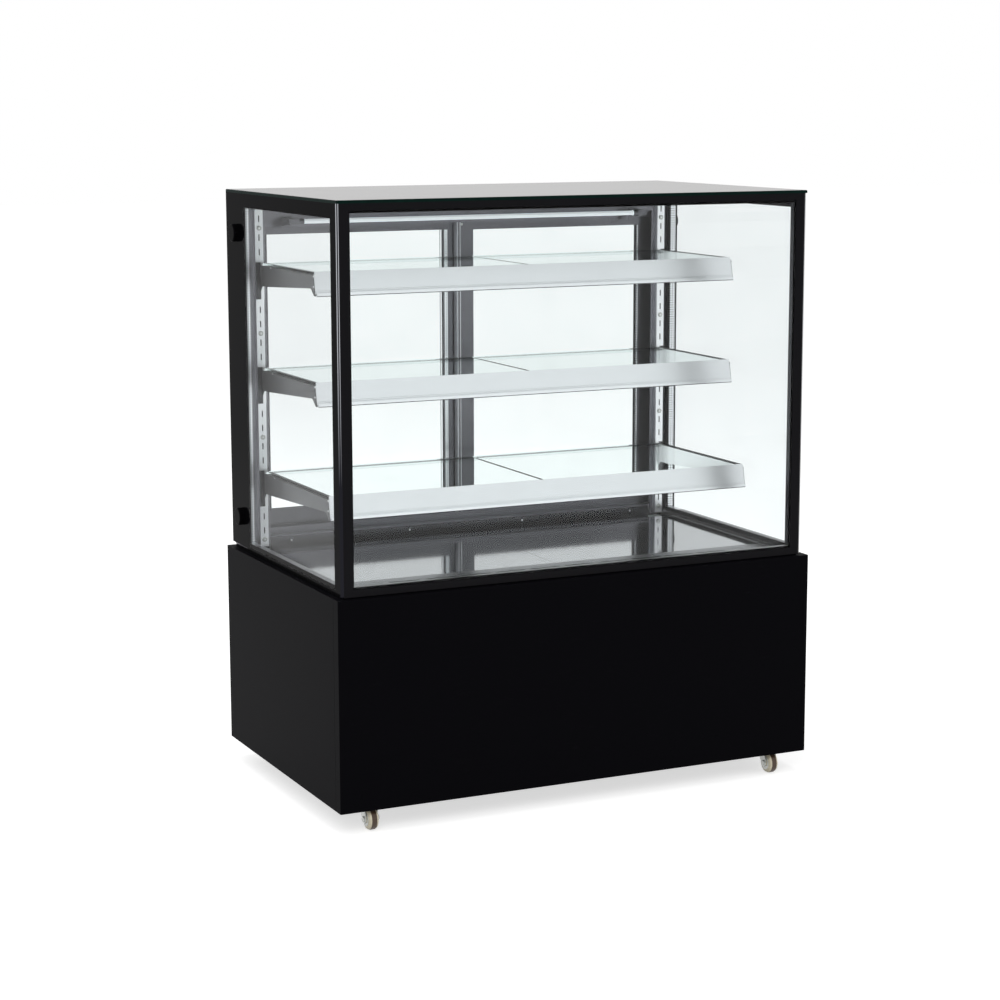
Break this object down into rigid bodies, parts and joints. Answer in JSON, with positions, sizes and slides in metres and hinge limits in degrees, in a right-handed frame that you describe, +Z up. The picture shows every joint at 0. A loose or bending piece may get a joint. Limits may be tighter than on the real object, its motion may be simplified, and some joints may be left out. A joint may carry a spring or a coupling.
{
  "type": "refrigerated display case",
  "caption": "Upright glass display case on a closed refrigerated base, with glass shelves on slotted uprights, sliding rear doors and castors.",
  "frame": {"origin": "on the floor under the middle of the case's outline", "axes": "+X to the right seen from the customer's side, +Y from the customer's side to the back, +Z up"},
  "size_m": [1.2, 0.73, 1.39],
  "materials": {
    "cabinet_black": "satin black powder coat",
    "frame_black": "matt black paint",
    "liner_grey": "grey liner over insulating foam",
    "deck_polished": "polished like a mirror",
    "stainless": "fine brushed",
    "clear_pane": "clear float glass with a printed black border",
    "inner_pane": "clear float glass",
    "shelf_pane": "clear glass with polished green edges",
    "black_pane": "glass printed black on its underside",
    "spacer_metal": "perforated bright bar",
    "bright_strip": "bright bevelled strip",
    "black_cap": "smooth black",
    "door_metal": "satin anodised",
    "frame_metal": "dark satin anodised",
    "slotted_steel": "satin nickel plate",
    "rail_metal": "silver anodised",
    "clear_strip": "clear extruded strip",
    "lamp_white": "milky white diffuser",
    "zinc_steel": "zinc plated",
    "wheel_cream": "cream with a brown tread",
    "compressor_black": "gloss black enamel",
    "fin_metal": "bare fins",
    "fan_black": "moulded black",
    "pipe_copper": "bare copper",
    "controller_black": "black moulding with a dark window",
    "button_grey": "grey key",
    "switch_green": "green rocker"
  },
  "bodies": {
    "cabinet": {"base_frame": "frame_black", "castor_plates": "zinc_steel", "compressor": "compressor_black", "condenser": "fin_metal", "condenser_fan_mount": "zinc_steel", "controller": "controller_black", "corner_strips": "bright_strip", "deck": "deck_polished", "door_frame": "frame_metal", "drip_pan": "zinc_steel", "evaporator": "fin_metal", "evaporator_fan_mount": "zinc_steel", "front_air_grille": "stainless", "front_glass": "clear_pane", "front_panel": "cabinet_black", "glass_rim": "frame_black", "glass_spacers": "spacer_metal", "inner_panes": "inner_pane", "left_glass": "clear_pane", "left_panel": "cabinet_black", "low_brackets": "slotted_steel", "low_price_rail": "rail_metal", "low_shelf_glass": "shelf_pane", "middle_brackets": "slotted_steel", "middle_price_rail": "rail_metal", "middle_shelf_glass": "shelf_pane", "pipes": "pipe_copper", "rear_grille": "cabinet_black", "rear_wall": "stainless", "right_glass": "clear_pane", "right_panel": "cabinet_black", "roof_lamp": "lamp_white", "shelf_lamps": "lamp_white", "shelf_rear_strips": "clear_strip", "side_caps": "black_cap", "top_brackets": "slotted_steel", "top_glass": "black_pane", "top_price_rail": "rail_metal", "top_shelf_glass": "shelf_pane", "tub": "liner_grey", "uprights": "slotted_steel"},
    "right_door": {"right_door_frame": "door_metal", "right_door_glass": "inner_pane"},
    "left_door": {"left_door_frame": "door_metal", "left_door_glass": "inner_pane"},
    "condenser_fan_rotor": {"condenser_fan": "fan_black"},
    "left_fan_rotor": {"left_evaporator_fan": "fan_black"},
    "right_fan_rotor": {"right_evaporator_fan": "fan_black"},
    "front_left_swivel": {"front_left_fork": "zinc_steel"},
    "front_left_roller": {"front_left_wheel": "wheel_cream"},
    "front_right_swivel": {"front_right_fork": "zinc_steel"},
    "front_right_roller": {"front_right_wheel": "wheel_cream"},
    "rear_left_swivel": {"rear_left_fork": "zinc_steel"},
    "rear_left_roller": {"rear_left_wheel": "wheel_cream"},
    "rear_right_swivel": {"rear_right_fork": "zinc_steel"},
    "rear_right_roller": {"rear_right_wheel": "wheel_cream"},
    "set_key": {"set_button": "button_grey"},
    "up_key": {"up_button": "button_grey"},
    "down_key": {"down_button": "button_grey"},
    "lamp_rocker": {"light_switch": "switch_green"}
  },
  "joints": [
    {"name": "right_door_slide", "type": "slide", "parent": "cabinet", "child": "right_door", "axis": [1, 0, 0], "range_m": [-0.536, 0]},
    {"name": "left_door_slide", "type": "slide", "parent": "cabinet", "child": "left_door", "axis": [1, 0, 0], "range_m": [0, 0.536]},
    {"name": "condenser_fan_spin", "type": "hinge", "parent": "cabinet", "child": "condenser_fan_rotor", "pos_m": [-0.25, 0.252, 0.204], "axis": [0, 1, 0], "continuous": true},
    {"name": "left_evaporator_fan_spin", "type": "hinge", "parent": "cabinet", "child": "left_fan_rotor", "pos_m": [-0.17, -0.109, 0.447], "axis": [0, 1, 0], "continuous": true},
    {"name": "right_evaporator_fan_spin", "type": "hinge", "parent": "cabinet", "child": "right_fan_rotor", "pos_m": [0.17, -0.109, 0.447], "axis": [0, 1, 0], "continuous": true},
    {"name": "front_left_swivel_turn", "type": "hinge", "parent": "cabinet", "child": "front_left_swivel", "pos_m": [-0.518, -0.319, 0.06], "axis": [0, 0, 1], "continuous": true},
    {"name": "front_left_wheel_roll", "type": "hinge", "parent": "front_left_swivel", "child": "front_left_roller", "pos_m": [-0.518, -0.337, 0.025], "axis": [1, 0, 0], "continuous": true},
    {"name": "front_right_swivel_turn", "type": "hinge", "parent": "cabinet", "child": "front_right_swivel", "pos_m": [0.518, -0.319, 0.06], "axis": [0, 0, 1], "continuous": true},
    {"name": "front_right_wheel_roll", "type": "hinge", "parent": "front_right_swivel", "child": "front_right_roller", "pos_m": [0.518, -0.337, 0.025], "axis": [1, 0, 0], "continuous": true},
    {"name": "rear_left_swivel_turn", "type": "hinge", "parent": "cabinet", "child": "rear_left_swivel", "pos_m": [-0.518, 0.319, 0.06], "axis": [0, 0, 1], "continuous": true},
    {"name": "rear_left_wheel_roll", "type": "hinge", "parent": "rear_left_swivel", "child": "rear_left_roller", "pos_m": [-0.518, 0.301, 0.025], "axis": [1, 0, 0], "continuous": true},
    {"name": "rear_right_swivel_turn", "type": "hinge", "parent": "cabinet", "child": "rear_right_swivel", "pos_m": [0.518, 0.319, 0.06], "axis": [0, 0, 1], "continuous": true},
    {"name": "rear_right_wheel_roll", "type": "hinge", "parent": "rear_right_swivel", "child": "rear_right_roller", "pos_m": [0.518, 0.301, 0.025], "axis": [1, 0, 0], "continuous": true},
    {"name": "set_button_press", "type": "slide", "parent": "cabinet", "child": "set_key", "axis": [0, -1, 0], "range_m": [0, 0.001], "stiffness_N_per_m": 400},
    {"name": "up_button_press", "type": "slide", "parent": "cabinet", "child": "up_key", "axis": [0, -1, 0], "range_m": [0, 0.001], "stiffness_N_per_m": 400},
    {"name": "down_button_press", "type": "slide", "parent": "cabinet", "child": "down_key", "axis": [0, -1, 0], "range_m": [0, 0.001], "stiffness_N_per_m": 400},
    {"name": "light_switch_rock", "type": "hinge", "parent": "cabinet", "child": "lamp_rocker", "pos_m": [-0.32, 0.355, 0.478], "axis": [1, 0, 0], "range_deg": [0, 16]}
  ]
}
